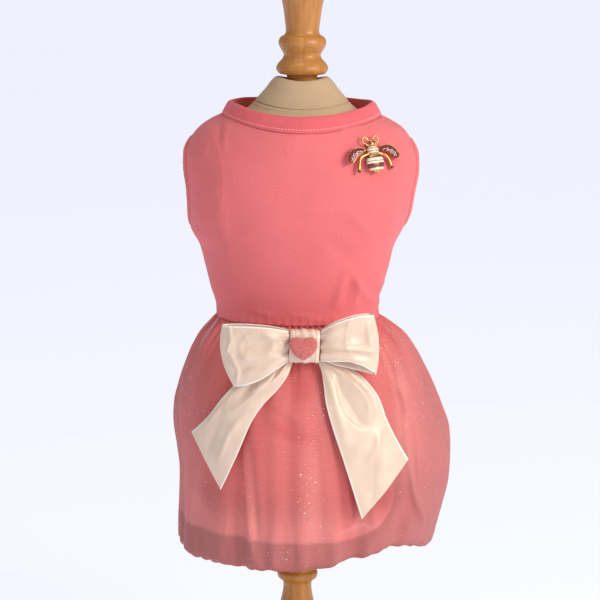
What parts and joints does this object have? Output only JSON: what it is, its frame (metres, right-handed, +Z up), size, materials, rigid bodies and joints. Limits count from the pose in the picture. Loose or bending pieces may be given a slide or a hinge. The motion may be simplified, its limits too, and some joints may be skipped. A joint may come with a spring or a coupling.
{
  "type": "dog dress on a limbless dress form with stand",
  "caption": "Sleeveless pink dog dress with a gathered tulle skirt, satin bow and bee brooch, shown on a limbless dress form on a turned wooden stand.",
  "frame": {"origin": "centre of the base's underside, on the stand's axis", "axes": "+Z up along the stand's axis, -Y to the side with the bow and the brooch, +X to the right of that side"},
  "size_m": [0.2, 0.2, 0.5004],
  "materials": {
    "wood": "honey-brown turned wood with a satin lacquer",
    "form_cover": "cream cotton jersey over padding",
    "jersey": "pink cotton jersey, matt",
    "rib": "pink doubled rib binding, topstitched",
    "tulle": "sheer pink glitter tulle",
    "lining": "pink lining, matt",
    "satin": "ivory satin ribbon with a thin bright selvage",
    "flock": "pink flock",
    "brooch_metal": "polished gold-coloured metal with enamel stripes",
    "brooch_enamel": "dark red enamel set with small clear stones"
  },
  "bodies": {
    "root": {"stand_base": "wood", "stand_post": "wood", "stand_finial": "wood", "dress_form": "form_cover", "bodice_back_panel": "jersey", "bodice_belly_panel": "jersey", "neckband": "rib", "armhole_band_left": "rib", "armhole_band_right": "rib", "skirt_tulle": "tulle", "skirt_lining": "lining", "bow_loop_left": "satin", "bow_loop_right": "satin", "bow_tail_left": "satin", "bow_tail_right": "satin", "bow_knot": "satin", "bow_heart": "flock", "bee_body": "brooch_metal", "bee_wing_left": "brooch_enamel", "bee_wing_right": "brooch_enamel"}
  },
  "joints": []
}
